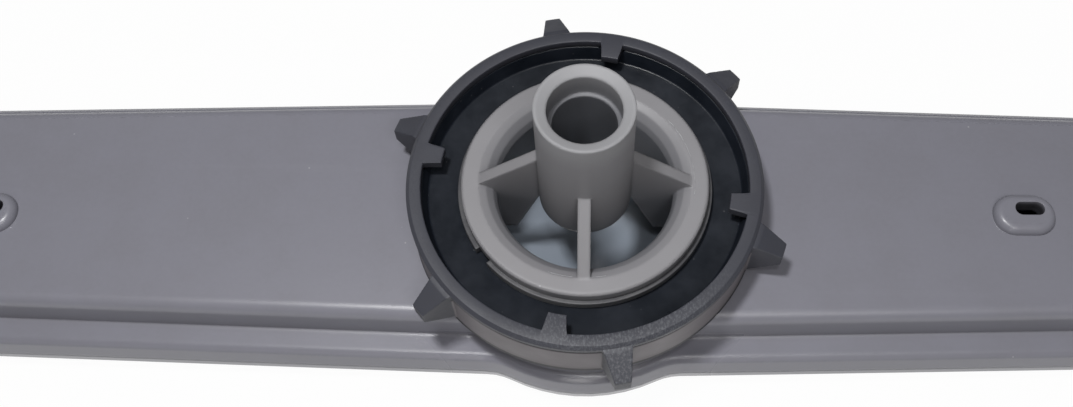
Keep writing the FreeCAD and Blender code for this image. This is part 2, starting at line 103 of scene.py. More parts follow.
# the nut's foot keeps its plain round for this height, in millimetres
FOOT_PLAIN = 0.4
# margins by which points of an outline are told apart, in millimetres
MARGIN = 0.1
HAIR = 0.01

# a tab's side rises over twice this angle, and the seal dips from and to these angles, in radians
TAB_FADE = 0.004
DIP_BEFORE = 0.006
DIP_PAST = 0.022
# two waves run along the seal's top: how many go round, the shift of the first, and the depth
SEAL_WAVES = (3.0, 7.0)
SEAL_WAVE_SHIFT = 0.7
SEAL_WAVE_DEPTH = 0.06

# steps round each piece and round its edges, and how strongly the nut's steps crowd at the lugs
NUT_STEPS = 1080
SEAL_STEPS = 720
DOME_STEPS = 96
EDGE_STEPS = 3
DOME_ROLL_STEPS = 9
OVAL_CORNER_STEPS = 12
LUG_CROWDING = 0.72

# threads of flash on the hub's flange; each arc is its distance from the hub axis, first angle and sweep
FLANGE_TOP = 32.25
FLASH_RADIUS = 0.06
FLASH_STEPS = 24
FLASH_SIDES = 6
# the threads waver: how far, against their radius, how fast, and the share of it that goes across
FLASH_WAVER = 0.8
FLASH_WAVER_TURN = 1.9
FLASH_WAVER_ACROSS = 0.5
FLASH_ARCS = [(21.25, 251.0, 13.0), (21.25, 272.5, 9.0), (22.1, 352.0, 48.0)]

# spray slots on the hub side: middle along and across the arm, then half the length and width
UPPER_SLOTS = [(92.9, -0.4), (-125.0, -2.1)]
SLOT_HALF_LENGTH = 3.13
SLOT_HALF_WIDTH = 1.58

# domes round those slots, in millimetres
DOME_LENGTH = 12.6
DOME_WIDTH = 8.8
DOME_RISE = 1.95
DOME_SHIFT = 0.9
DOME_ROLL = 1.7
DOME_PROUD = 0.12
DOME_SUNK = 0.3
OVAL_END_SHARE = 0.96
PLATEAU = 20.0
# the slot's rim lies this far inside the cut, and the dome's flat begins this far past the roll
SLOT_INSET = 0.08
PAST_ROLL = 0.2
# inward distances past the first mark the slot's own rows, which have the second
SLOT_ROW = 5.0
SLOT_RIM_ROW = 6.0

# where the finishes change, in metres: distances from the hub axis
FLOOR_EDGE = (0.020, 0.026)
BULGE_FADE = (0.036, 0.056)
BORE_EDGE = (0.0068, 0.0074)
SKIRT_INNER = 0.0348
# heights above the spray face
BULGE_TOP = (0.0125, 0.0135)
THROAT_FADE = (0.0260, 0.0400)
BORE_TOP = (0.0560, 0.0590)
TUBE_PALING = (0.0535, 0.0602)
MOUTH_RIM = (0.0575, 0.0600)
# distance from a slot's middle to the dome's surroundings, and the foot of the painted shade inside the slot,
# in metres
DOME_FADE = (0.0235, 0.0250)
SLOT_SHADE_FOOT = 0.0205
# the rubbed patch on the nut's front rim: its shift, and one over its radius
RUBBED_SHIFT = (-0.32, 1.26, -1.25)
RUBBED_SCALE = 38.0

# colours, linear
ARM_GREY = (0.190, 0.189, 0.221)
ARM_PALE = (0.228, 0.228, 0.262)
ARM_DULL_AND_SHADE = (0.165, 0.162, 0.180)
HUB_GREY = (0.228, 0.224, 0.236)
HUB_PALE = (0.275, 0.273, 0.288)
HUB_DULL_AND_SHADE = (0.175, 0.168, 0.175)
HUB_MILKY = (0.400, 0.410, 0.424)
HUB_PAINTED_SHADE = (0.085, 0.092, 0.108)
NUT_GREY = (0.044, 0.046, 0.058)
NUT_WORN = (0.200, 0.208, 0.225)
NUT_DULL_AND_SHADE = (0.033, 0.033, 0.042)
SEAL_BLACK = (0.007, 0.009, 0.013)
SEAL_DUSTY = (0.014, 0.017, 0.024)
SLIDE_GREY = (0.068, 0.068, 0.075)
SLIDE_PALE = (0.105, 0.105, 0.110)
SPECK = (0.40, 0.40, 0.42)
PAINTED_SHADE_BLACK = (0.012, 0.012, 0.016)
SKIRT_PAINTED_REFLECTION = (0.150, 0.136, 0.146)
FLOOR_PAINTED_LIGHT = (0.235, 0.268, 0.315)
BENCH_WHITE = (0.62, 0.62, 0.62)

# the white bench top, in metres, how much of it glows, and the light from the room
BENCH_REACH = 1.6
BENCH_DROP = 0.0004
BENCH_GLOW = 0.97
BENCH_ROUGHNESS = 0.9
SKY_LIGHT = 0.12


class Wire:
    """A value that runs between nodes and can be reckoned with."""

    def __init__(self, nodes, socket):
        self.nodes = nodes
        self.socket = socket

    def __add__(self, other):
        return self.nodes.reckon("ADD", self, other)

    def __sub__(self, other):
        return self.nodes.reckon("SUBTRACT", self, other)

    def __rsub__(self, other):
        return self.nodes.reckon("SUBTRACT", other, self)

    def __mul__(self, other):
        return self.nodes.reckon("MULTIPLY", self, other)

    def __rtruediv__(self, other):
        return self.nodes.reckon("DIVIDE", other, self)

    __radd__ = __add__
    __rmul__ = __mul__


class Nodes:
    """A node tree to which nodes are added one call at a time."""

    def __init__(self, tree):
        self.tree = tree

    def node(self, kind, settings, *values, output=0, **named):
        """Add a node, set it up, feed its sockets by order or by name, and give one output."""
        node = self.tree.nodes.new(kind)
        for name, value in settings.items():
            setattr(node, name, value)
        for index, value in enumerate(values):
            self.feed(node.inputs[index], value)
        for name, value in named.items():
            self.feed(node.inputs[name.replace("_", " ")], value)
        return Wire(self, node.outputs[output]) if node.outputs else None

    def feed(self, socket, value):
        """Link a wire to a socket, or set the socket."""
        if isinstance(value, Wire):
            self.tree.links.new(value.socket, socket)
            return
        if isinstance(value, tuple) and len(value) == 3 and socket.type == "RGBA":
            value = (*value, 1.0)
        socket.default_value = value

    def ramp(self, value, low, high):
        """0 below low, 1 above high, a straight rise between."""
        return self.node("ShaderNodeMapRange", {"clamp": True}, value, low, high, 0.0, 1.0)

    def between(self, value, low, high, fade):
        """1 from low to high, fading out beyond them."""
        return self.ramp(value, low - fade, low) * (1.0 - self.ramp(value, high, high + fade))

    def reckon(self, operation, *values):
        """A Math node."""
        return self.node("ShaderNodeMath", {"operation": operation}, *values)

    def part(self, vector, axis):
        """One number of a vector."""
        return self.node("ShaderNodeSeparateXYZ", {}, vector, output=axis)

    def seen_by(self, other_ray):
        """1 for the camera and for one other kind of ray."""
        camera = self.node("ShaderNodeLightPath", {}, output="Is Camera Ray")
        return self.reckon("MAXIMUM", camera, self.node("ShaderNodeLightPath", {}, output=other_ray))


class Finish(Nodes):
    """One material and the nodes that paint it."""

    def __init__(self, name):
        self.material = bpy.data.materials.new(name)
        self.material.use_nodes = True
        super().__init__(self.material.node_tree)
        self.shader = self.tree.nodes["Principled BSDF"]
        self.places = self.node("ShaderNodeTexCoord", {}, output="Object")
        self.level = self.part(self.places, "Z")
        self.off_axis = self.length(self.stretched(1.0, 1.0, 0.0))

    def noise(self, scale, detail, roughness=0.5, places=None):
        """Smooth random values; scale is in bumps per metre."""
        return self.node("ShaderNodeTexNoise", {}, Vector=places or self.places, Scale=scale, Detail=detail,
                         Roughness=roughness)

    def stretched(self, along, across, up):
        """Places stretched so that a pattern runs long in one direction."""
        return self.node("ShaderNodeMapping", {}, Vector=self.places, Scale=(along, across, up))

    def length(self, vector):
        """How long a vector is."""
        return self.node("ShaderNodeVectorMath", {"operation": "LENGTH"}, vector, output="Value")

    def tint(self, share, first, second):
        """Go from the first colour to the second."""
        return self.node("ShaderNodeMix", {"data_type": "RGBA"}, output=2, Factor=share, A=first, B=second)

    def crevice(self, reach):
        """1 in the open, less in corners and under edges."""
        return self.node("ShaderNodeAmbientOcclusion", {"samples": 8}, Distance=reach, output="AO")

    def corner_shade(self, reach, low, high):
        """0 in the open, 1 in corners: the share of painted shade there."""
        return 1.0 - self.ramp(self.crevice(reach), low, high)

    def bump(self, height, strength, depth, normal):
        """Relief from a height pattern, laid on softened edges."""
        return self.node("ShaderNodeBump", {}, Strength=strength, Distance=depth, Height=height,
                         Normal=normal)

    def soft_edges(self, radius):
        """Normals that turn smoothly over the edges."""
        return self.node("ShaderNodeBevel", {"samples": 6}, Radius=radius)

    def paint(self, colour, roughness, normal, **fixed):
        """Feed the shader and return the material."""
        self.feed(self.shader.inputs["Base Color"], colour)
        self.feed(self.shader.inputs["Roughness"], roughness)
        self.feed(self.shader.inputs["Normal"], normal)
        for name, value in fixed.items():
            self.feed(self.shader.inputs[name.replace("_", " ")], value)
        return self.material


class Form(Nodes):
    """A geometry tree with named sizes, which shapes an outline into a piece."""

    def __init__(self, name, sizes):
        self.name = name
        self.sizes = sizes
        super().__init__(bpy.data.node_groups.new(name, "GeometryNodeTree"))
        face = self.tree.interface
        face.new_socket("Outline", in_out="INPUT", socket_type="NodeSocketGeometry")
        for label, value in sizes.items():
            kind = "NodeSocketInt" if isinstance(value, int) else "NodeSocketFloat"
            face.new_socket(label, in_out="INPUT", socket_type=kind)
        face.new_socket("Piece", in_out="OUTPUT", socket_type="NodeSocketGeometry")
        self.outline = self.node("NodeGroupInput", {}, output="Outline")

    def size(self, label):
        """One of the tree's named inputs."""
        return Wire(self, self.outline.socket.node.outputs[label])

    def spread_outline(self, corner_steps, corner_radius):
        """A sheet of points, with each point's share of the way round and its corner of the outline.

        The outline's corners are rounded first, and the sheet has one row for each point of it.
        """
        curve = self.node("GeometryNodeMeshToCurve", {}, Mesh=self.outline)
        curve = self.node("GeometryNodeFilletCurve", {"mode": "POLY"}, Curve=curve, Count=corner_steps,
                          Radius=corner_radius, Limit_Radius=True)
        points = self.node("GeometryNodeCurveToPoints", {"mode": "EVALUATED"}, Curve=curve)
        count = self.node("GeometryNodeAttributeDomainSize", {"component": "POINTCLOUD"}, Geometry=points)
        sheet = self.node("GeometryNodeMeshGrid", {}, 1.0, 1.0, self.size("Steps Round") + 1, count + 1)
        place = self.node("GeometryNodeInputPosition", {})
        around = self.part(place, "X") + 0.5
        along = self.part(place, "Y") + 0.5
        index = self.reckon("FLOORED_MODULO", self.reckon("ROUND", along * count), count)
        corner = self.node("GeometryNodeSampleIndex", {"data_type": "FLOAT_VECTOR"}, Geometry=points,
                           Value=place, Index=index)
        return sheet, around, corner

    def turn_outline(self, corner_steps=EDGE_STEPS, warp=0.0, warp_count=1, warp_place=0.0):
        """Wrap the outline round the hub axis; gives the sheet, and each point's angle, reach and height.

        The warp crowds the steps round the circle where the repeated forms stand.
        """
        sheet, around, corner = self.spread_outline(corner_steps, self.size("Edge Radius"))
        angle = around * math.tau
        swing = self.reckon("SINE", (angle - warp_place) * warp_count) * (warp / warp_count)
        return sheet, angle - swing, self.part(corner, "X"), self.part(corner, "Z")

    def from_nearest(self, angle, count, place):
        """Angle from the nearest of several evenly spaced places."""
        pitch = math.tau / count
        return self.reckon("FLOORED_MODULO", angle - place + pitch / 2, pitch) - pitch / 2

    def settle(self, sheet, x, y, z):
        """Move the sheet's points to their places and close its seams."""
        place = self.node("ShaderNodeCombineXYZ", {}, x, y, z)
        moved = self.node("GeometryNodeSetPosition", {}, Geometry=sheet, Position=place)
        return self.node("GeometryNodeMergeByDistance", {}, Geometry=moved, Distance=SEAM)

    def wrap(self, sheet, angle, reach, height):
        """Put the sheet's points at their angle, reach and height."""
        x = reach * self.reckon("COSINE", angle)
        y = reach * self.reckon("SINE", angle)
        return self.settle(sheet, x, y, height)

    def oval(self, length, width, around):
        """Place and outward direction on an oval, by the share of its length."""
        box = self.node("GeometryNodeCurvePrimitiveQuadrilateral", {"mode": "RECTANGLE"}, length, width)
        curve = self.node("GeometryNodeFilletCurve", {"mode": "POLY"}, Curve=box, Count=OVAL_CORNER_STEPS,
                          Radius=width * (OVAL_END_SHARE / 2), Limit_Radius=True)
        sample = self.node("GeometryNodeSampleCurve", {"mode": "FACTOR", "use_all_curves": True},
                           Curves=curve, Factor=around, output="Position")
        tangent = Wire(self, sample.socket.node.outputs["Tangent"])
        x = self.part(sample, "X")
        y = self.part(sample, "Y")
        side_x = self.part(tangent, "Y")
        side_y = self.part(tangent, "X") * -1.0
        sign = self.reckon("SIGN", x * side_x + y * side_y)
        return x, y, side_x * sign, side_y * sign

    def make(self, shape, corners, material, body, slot, nodes):
        """Run the tree on an outline of corners and hand over a plain mesh that rides on a body."""
        real = self.node("GeometryNodeRealizeInstances", {}, shape)
        painted = self.node("GeometryNodeSetMaterial", {}, Geometry=real, Material=material)
        self.node("NodeGroupOutput", {}, Piece=painted)
        outline = bpy.data.meshes.new(self.name + "_outline")
        points = [(reach * MM, 0.0, height * MM) for reach, height in corners]
        outline.from_pydata(points, [(i, (i + 1) % len(points)) for i in range(len(points))], [])
        holder = bpy.data.objects.new(self.name + "_outline", outline)
        bpy.context.scene.collection.objects.link(holder)
        modifier = holder.modifiers.new("form", "NODES")
        modifier.node_group = self.tree
        for item in self.tree.interface.items_tree:
            if item.in_out == "INPUT" and item.name in self.sizes:
                modifier[item.identifier] = self.sizes[item.name]
        holder.update_tag()
        graph = bpy.context.evaluated_depsgraph_get()
        mesh = bpy.data.meshes.new_from_object(holder.evaluated_get(graph), depsgraph=graph)
        bpy.data.objects.remove(holder)
        mesh.name = self.name
        turn_faces_outwards(mesh)
        piece = bpy.data.objects.new(self.name, mesh)
        bpy.context.scene.collection.objects.link(piece)
        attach(piece, body)
        if nodes:
            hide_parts(*nodes)
        return piece


def turn_faces_outwards(mesh):
    """Point all faces out and let the light run smoothly over them, except at sharp turns."""
    shell = bmesh.new()
    shell.from_mesh(mesh)
    bmesh.ops.recalc_face_normals(shell, faces=shell.faces)
    for face in shell.faces:
        face.smooth = True
    shell.to_mesh(mesh)
    shell.free()
    mesh.set_sharp_from_angle(angle=math.radians(SHARP_TURN))


def specks(finish, scale, size, share):
    """1 inside a few scattered small specks."""
    cells = finish.node("ShaderNodeTexVoronoi", {}, Vector=finish.places, Scale=scale, output="Distance")
    chosen = finish.ramp(finish.noise(scale * 0.37, 0.0), share, share + 0.02)
    return (1.0 - finish.ramp(cells, size * 0.6, size)) * chosen


def slots_and_domes(finish):
    """1 inside the two spray slots, and 1 on and round their domes."""
    dome_top = (PLATEAU + DOME_RISE - MARGIN) * MM
    below_top = 1.0 - finish.ramp(finish.level, SLOT_SHADE_FOOT, dome_top)
    in_slot = 0.0
    near_dome = 0.0
    for x, y in UPPER_SLOTS:
        middle = finish.node("ShaderNodeMapping", {}, Vector=finish.places, Location=(-x * MM, -y * MM, 0.0))
        offset = finish.node("ShaderNodeVectorMath", {"operation": "ABSOLUTE"}, middle)
        share = finish.node("ShaderNodeVectorMath", {"operation": "MULTIPLY"}, offset,
                            (1.0 / SLOT_HALF_LENGTH, 1.0 / SLOT_HALF_WIDTH, 0.0))
        widest = finish.reckon("MAXIMUM", finish.part(share, "X"), finish.part(share, "Y"))
        in_slot = in_slot + finish.reckon("LESS_THAN", widest, MM) * below_top
        near_dome = near_dome + (1.0 - finish.ramp(finish.length(offset), *DOME_FADE))
    return in_slot, near_dome


def arm_plastic(name, lit_floor=False):
    """Satin lilac-grey polypropylene: grain, flow marks, dull mottling, pale specks and faint scuffs.

    The floor under the hub is painted a paler slate as painted light from the throat; the spray slots
    are painted dark inside and the corners darker, as painted shade; and the bulge round the hub
    shines a little more.
    """
    finish = Finish(name)
    flow = finish.noise(9.0, 2.0, 0.5, finish.stretched(0.35, 1.0, 1.0))
    grain = finish.noise(900.0, 2.0, 0.6)
    fine = finish.noise(3800.0, 1.0, 0.5)
    mottling = finish.ramp(finish.noise(75.0, 5.0, 0.65), 0.42, 0.62)
    scuffs = finish.ramp(finish.noise(60.0, 4.0, 0.7, finish.stretched(0.12, 3.2, 1.0)), 0.60, 0.78)
    in_slot, near_dome = slots_and_domes(finish)
    colour = finish.tint(finish.ramp(flow, 0.35, 0.68) * 0.35, ARM_GREY, ARM_PALE)
    colour = finish.tint(mottling * 0.22, colour, ARM_DULL_AND_SHADE)
    colour = finish.tint(finish.ramp(grain, 0.35, 0.65) * 0.10, colour, ARM_PALE)
    colour = finish.tint(scuffs * 0.18, colour, ARM_PALE)
    colour = finish.tint(specks(finish, 330.0, 0.08, 0.70) * 0.6, colour, SPECK)
    if lit_floor:
        # painted light: the floor under the hub is painted a paler slate for the light that falls on it
        # through the throat
        colour = finish.tint(1.0 - finish.ramp(finish.off_axis, *FLOOR_EDGE), colour, FLOOR_PAINTED_LIGHT)
    # painted shade: the spray slots are painted nearly black inside
    colour = finish.tint(in_slot * 0.9, colour, PAINTED_SHADE_BLACK)
    # painted shade: darker in corners and under edges, weaker round the domes
    corners = finish.corner_shade(0.004, 0.15, 0.75) * (1.0 - near_dome * 0.6)
    colour = finish.tint(corners, colour, ARM_DULL_AND_SHADE)
    at_bulge = 1.0 - finish.ramp(finish.off_axis, *BULGE_FADE)
    below_step = 1.0 - finish.ramp(finish.level, *BULGE_TOP)
    roughness = finish.ramp(flow + scuffs * 0.4, 0.0, 1.6) * 0.22 + 0.26
    roughness = roughness - at_bulge * at_bulge * below_step * 0.14
    edges = finish.soft_edges(0.0011 - near_dome * 0.0008)
    return finish.paint(colour, roughness, finish.bump(grain + fine * 0.5, 0.10, 0.00010, edges))


def hub_plastic():
    """Lighter grey moulding: faint upright flow marks, milky up the tube; painted shade in corners, deep in
    throat and bore.
    """
    finish = Finish("hub_grey_plastic")
    flow = finish.noise(70.0, 3.0, 0.55, finish.stretched(1.0, 1.0, 0.12))
    blotches = finish.noise(55.0, 3.0, 0.6)
    grain = finish.noise(1300.0, 2.0, 0.6)
    colour = finish.tint(finish.ramp(flow, 0.35, 0.7) * 0.3, HUB_GREY, HUB_PALE)
    colour = finish.tint(finish.ramp(blotches, 0.5, 0.75) * 0.25, colour, HUB_DULL_AND_SHADE)
    colour = finish.tint(specks(finish, 420.0, 0.10, 0.66) * 0.6, colour, SPECK)
    # painted shade in corners
    colour = finish.tint(finish.corner_shade(0.008, 0.1, 0.8), colour, HUB_DULL_AND_SHADE)
    colour = finish.tint(finish.ramp(finish.level, *TUBE_PALING) * 0.30, colour, HUB_MILKY)
    # painted shade deep in the throat below the flange and down the bore
    enclosed = finish.corner_shade(0.022, 0.15, 0.90)
    below_flange = 1.0 - finish.ramp(finish.level, *THROAT_FADE)
    in_bore = 1.0 - finish.ramp(finish.off_axis, *BORE_EDGE)
    in_bore = in_bore * (1.0 - finish.ramp(finish.level, *BORE_TOP))
    shade = finish.reckon("MAXIMUM", below_flange * 0.85, in_bore * 0.8)
    colour = finish.tint(enclosed * shade, colour, HUB_PAINTED_SHADE)
    roughness = finish.ramp(blotches, 0.2, 0.9) * 0.2 + 0.34
    roughness = roughness + finish.ramp(finish.level, *MOUTH_RIM) * 0.14
    normal = finish.bump(grain, 0.10, 0.00008, finish.soft_edges(0.0009))
    return finish.paint(colour, roughness, normal)


def flash_plastic():
    """Thin flash lets light through, so it is paler than the hub."""
    finish = Finish("hub_flash_plastic")
    uneven = finish.noise(700.0, 2.0, 0.5)
    colour = finish.tint(finish.ramp(uneven, 0.35, 0.65), HUB_PALE, HUB_MILKY)
    roughness = finish.ramp(uneven, 0.2, 0.8) * 0.2 + 0.3
    return finish.paint(colour, roughness, finish.bump(uneven, 0.1, 0.00005, finish.soft_edges(0.00005)))


def nut_plastic():
    """Dark filled plastic: grained, rubbed pale in scratches on its front rim; painted reflection on skirt,
    painted shade low.
    """
    finish = Finish("nut_dark_plastic")
    mottle = finish.noise(160.0, 4.0, 0.6)
    grain = finish.noise(1700.0, 3.0, 0.65)
    patch = finish.node("ShaderNodeMapping", {}, Vector=finish.places, Location=RUBBED_SHIFT,
                        Scale=(RUBBED_SCALE, RUBBED_SCALE, RUBBED_SCALE))
    rubbed = finish.node("ShaderNodeTexGradient", {"gradient_type": "SPHERICAL"}, patch)
    scratches = finish.ramp(finish.noise(2600.0, 3.0, 0.7, finish.stretched(1.0, 0.55, 1.0)), 0.46, 0.66)
    worn = finish.ramp(rubbed, 0.0, 0.6) * scratches
    colour = finish.tint(finish.ramp(mottle, 0.35, 0.75) * 0.5, NUT_GREY, NUT_DULL_AND_SHADE)
    colour = finish.tint(worn * 0.34, colour, NUT_WORN)
    band_foot = (NUT_TOP - RIM_BAND) * MM
    groove_foot = band_foot - 1.8 * GROOVE_HALF * MM
    # painted reflection: the skirt below the groove is painted beige all round for the white bench its front
    # mirrors
    on_skirt = finish.between(finish.off_axis, SKIRT_INNER, NUT_OUTSIDE * MM, 0.0002)
    below_groove = 1.0 - finish.ramp(finish.level, groove_foot - 0.0001, groove_foot)
    colour = finish.tint(on_skirt * below_groove, colour, SKIRT_PAINTED_REFLECTION)
    # painted shade in the groove under the rim's band, and painted shadow along the foot where the nut stands
    # clear
    in_groove = finish.between(finish.level, groove_foot, band_foot - 0.0001, 0.0001)
    at_foot = 1.0 - finish.ramp(finish.level, (NUT_BOTTOM + 0.8) * MM, (NUT_BOTTOM + 1.1) * MM)
    colour = finish.tint(on_skirt * finish.reckon("MAXIMUM", in_groove, at_foot), colour, PAINTED_SHADE_BLACK)
    # painted shade in corners
    colour = finish.tint(finish.corner_shade(0.004, 0.2, 0.8), colour, NUT_DULL_AND_SHADE)
    roughness = finish.ramp(mottle, 0.2, 0.8) * 0.15 + 0.42
    normal = finish.bump(grain, 0.22, 0.00012, finish.soft_edges(0.0001))
    return finish.paint(colour, roughness, normal, Specular_IOR_Level=0.4)


def seal_rubber():
    """Black rubber with a low shine and a little dust."""
    finish = Finish("seal_black_rubber")
    dust = finish.noise(120.0, 4.0, 0.65)
    grain = finish.noise(1500.0, 2.0, 0.5)
    colour = finish.tint(finish.ramp(dust, 0.35, 0.75), SEAL_BLACK, SEAL_DUSTY)
    colour = finish.tint(specks(finish, 520.0, 0.10, 0.58) * 0.45, colour, SLIDE_PALE)
    roughness = finish.ramp(dust, 0.2, 0.8) * 0.18 + 0.24
    normal = finish.bump(grain, 0.12, 0.00008, finish.soft_edges(0.0002))
    return finish.paint(colour, roughness, normal, Specular_IOR_Level=0.25)


def slide_plastic():
    """Mid-grey bearing ring, rubbed along its turning direction, with painted shade in its corners."""
    finish = Finish("slide_grey_plastic")
    rub = finish.noise(300.0, 3.0, 0.6, finish.stretched(1.0, 1.0, 6.0))
    colour = finish.tint(finish.ramp(rub, 0.4, 0.7), SLIDE_GREY, SLIDE_PALE)
    # painted shade in corners and under the hub's flange
    colour = finish.tint(finish.corner_shade(0.003, 0.2, 0.9) * 0.85, colour, PAINTED_SHADE_BLACK)
    roughness = finish.ramp(rub, 0.2, 0.8) * 0.2 + 0.3
    normal = finish.bump(rub, 0.15, 0.00008, finish.soft_edges(0.0004))
    return finish.paint(colour, roughness, normal)


def lug_reach(form, angle, height):
    """How far the lugs stand out from the nut: narrower at their tips, sloping above and below."""
    narrowing = (LUG_ROOT_HALF - LUG_TIP_HALF) / LUG_REACH
    side = (LUG_ROOT_HALF + NUT_OUTSIDE * narrowing) * MM
    from_middle = form.from_nearest(angle, LUG_COUNT, math.radians(LUG_PLACE))
    swing = form.reckon("ABSOLUTE", form.reckon("SINE", from_middle))
    flank = side / (swing + narrowing) - NUT_OUTSIDE * MM
    lug = form.reckon("SMOOTH_MIN", flank, form.size("Lug Reach"), LUG_TIP_BLEND * MM)
    top_rise = (LUG_REACH + RIM_BEVEL) / LUG_DROP
    over = (NUT_TOP * MM - height) * top_rise - RIM_BEVEL * MM
    lug = form.reckon("SMOOTH_MIN", lug, over, LUG_TOP_BLEND * MM)
    under_rise = LUG_REACH / (LUG_UNDER_ROOT - LUG_UNDER_TIP)
    under = (height - (NUT_TOP - LUG_UNDER_ROOT) * MM) * under_rise
    return form.reckon("SMOOTH_MIN", lug, under, LUG_UNDER_BLEND * MM)


def wall_reach(form, height):
    """The wall between the lugs, set back a little under the rim's band, with a groove there."""
    band_foot = (NUT_TOP - RIM_BAND) * MM
    under_band = 1.0 - form.ramp(height, band_foot - WALL_ROW * MM, band_foot)
    from_groove = form.reckon("ABSOLUTE", height - (band_foot - GROOVE_HALF * MM))
    groove = 1.0 - form.ramp(from_groove, 0.0, GROOVE_HALF * MM)
    return (form.size("Rim Step") * under_band + form.size("Rim Groove") * groove) * -1.0


def tab_reach(form, angle):
    """How far the tabs reach into the nut's mouth."""
    swing = form.reckon("ABSOLUTE", form.from_nearest(angle, TAB_COUNT, math.radians(TAB_PLACE)))
    edge = TAB_HALF / (NUT_MOUTH - TAB_LENGTH / 2)
    return (1.0 - form.ramp(swing, edge - TAB_FADE, edge + TAB_FADE)) * form.size("Tab Length")


def nut_section():
    """Corners of the nut's section, with close rows up its outer wall."""
    rows = int((LUG_UNDER_ROOT - RIM_ROLL) / WALL_ROW)
    wall = [(NUT_OUTSIDE, NUT_TOP - RIM_ROLL - WALL_ROW * row) for row in range(rows, 0, -1)]
    return [
        (WEB_BORE, WEB_BOTTOM), (NUT_SKIRT_INSIDE, WEB_BOTTOM), (NUT_SKIRT_INSIDE, NUT_BOTTOM),
        (NUT_OUTSIDE, NUT_BOTTOM), *wall, (NUT_OUTSIDE, NUT_TOP - RIM_ROLL),
        (NUT_OUTSIDE - RIM_ROLL, NUT_TOP), (NUT_MOUTH, NUT_TOP), (NUT_MOUTH, LIP_BOTTOM),
        (NUT_GROOVE, LIP_BOTTOM), (NUT_GROOVE, WEB_TOP), (WEB_BORE, WEB_TOP)]


def make_ring_nut(material):
    """The bayonet ring, with its rim, six sloping grip lugs and four inner tabs in one skin."""
    form = Form("ring_nut_moulded", {
        "Steps Round": NUT_STEPS,
        "Edge Radius": NUT_EDGE * MM,
        "Lug Reach": LUG_REACH * MM,
        "Tab Length": TAB_LENGTH * MM,
        "Rim Step": RIM_STEP * MM,
        "Rim Groove": RIM_GROOVE * MM,
    })
    place = form.node("GeometryNodeInputPosition", {})
    level = form.part(place, "Z")
    on_wall = form.reckon("GREATER_THAN", form.part(place, "X"), (NUT_OUTSIDE - HAIR) * MM)
    on_wall = on_wall * form.reckon("GREATER_THAN", level, (NUT_BOTTOM + FOOT_PLAIN) * MM)
    on_wall = on_wall * form.reckon("LESS_THAN", level, (NUT_TOP - RIM_ROLL - MARGIN) * MM)
    corner_steps = EDGE_STEPS - on_wall * EDGE_STEPS
    sheet, angle, reach, height = form.turn_outline(corner_steps, LUG_CROWDING, LUG_COUNT,
                                                    math.radians(LUG_PLACE))
    lug = lug_reach(form, angle, height)
    out = form.reckon("SMOOTH_MAX", lug, wall_reach(form, height), LUG_ROOT_BLEND * MM)
    on_wall = form.reckon("GREATER_THAN", reach, (NUT_OUTSIDE - HAIR) * MM)
    on_wall = on_wall * form.reckon("GREATER_THAN", height, (NUT_BOTTOM + FOOT_PLAIN) * MM)
    in_mouth = form.reckon("LESS_THAN", reach, (NUT_MOUTH + NUT_EDGE + HAIR) * MM)
    in_mouth = in_mouth * form.reckon("GREATER_THAN", height, (LIP_BOTTOM - HAIR) * MM)
    reach = reach + out * on_wall - tab_reach(form, angle) * in_mouth
    shape = form.wrap(sheet, angle, reach, height)
    return form.make(shape, nut_section(), material, "nut", "nut_dark", ["ring_nut"])


def make_channel_seal(material):
    """The rubber channel lining: floor and leaning wall, dipped under each tab, wavy along its top."""
    form = Form("channel_seal_rubber", {
        "Steps Round": SEAL_STEPS,
        "Edge Radius": SEAL_EDGE * MM,
        "Notch Depth": NOTCH_DEPTH * MM,
    })
    sheet, angle, reach, height = form.turn_outline()
    swing = form.reckon("ABSOLUTE", form.from_nearest(angle, TAB_COUNT, math.radians(TAB_PLACE)))
    edge = TAB_HALF / SEAL_OUTSIDE
    dip = 1.0 - form.ramp(swing, edge - DIP_BEFORE, edge + DIP_PAST)
    slow, quick = SEAL_WAVES
    wave = form.reckon("SINE", angle * slow + SEAL_WAVE_SHIFT) * form.reckon("SINE", angle * quick)
    wave = wave * (SEAL_WAVE_DEPTH * MM)
    lowest = SEAL_TOP * MM - dip * form.size("Notch Depth")
    height = form.reckon("MINIMUM", height, lowest - form.reckon("ABSOLUTE", wave))
    shape = form.wrap(sheet, angle, reach, height)
    inside = SEAL_OUTSIDE - SEAL_WALL
    corners = [
        (WEB_BORE, WEB_TOP), (SEAL_OUTSIDE, WEB_TOP), (SEAL_OUTSIDE, SEAL_TOP), (inside, SEAL_TOP),
        (inside - SEAL_LEAN, SEAL_FLOOR), (WEB_BORE, SEAL_FLOOR)]
    return form.make(shape, corners, material, "nut", "seal_black", ["channel_seal"])


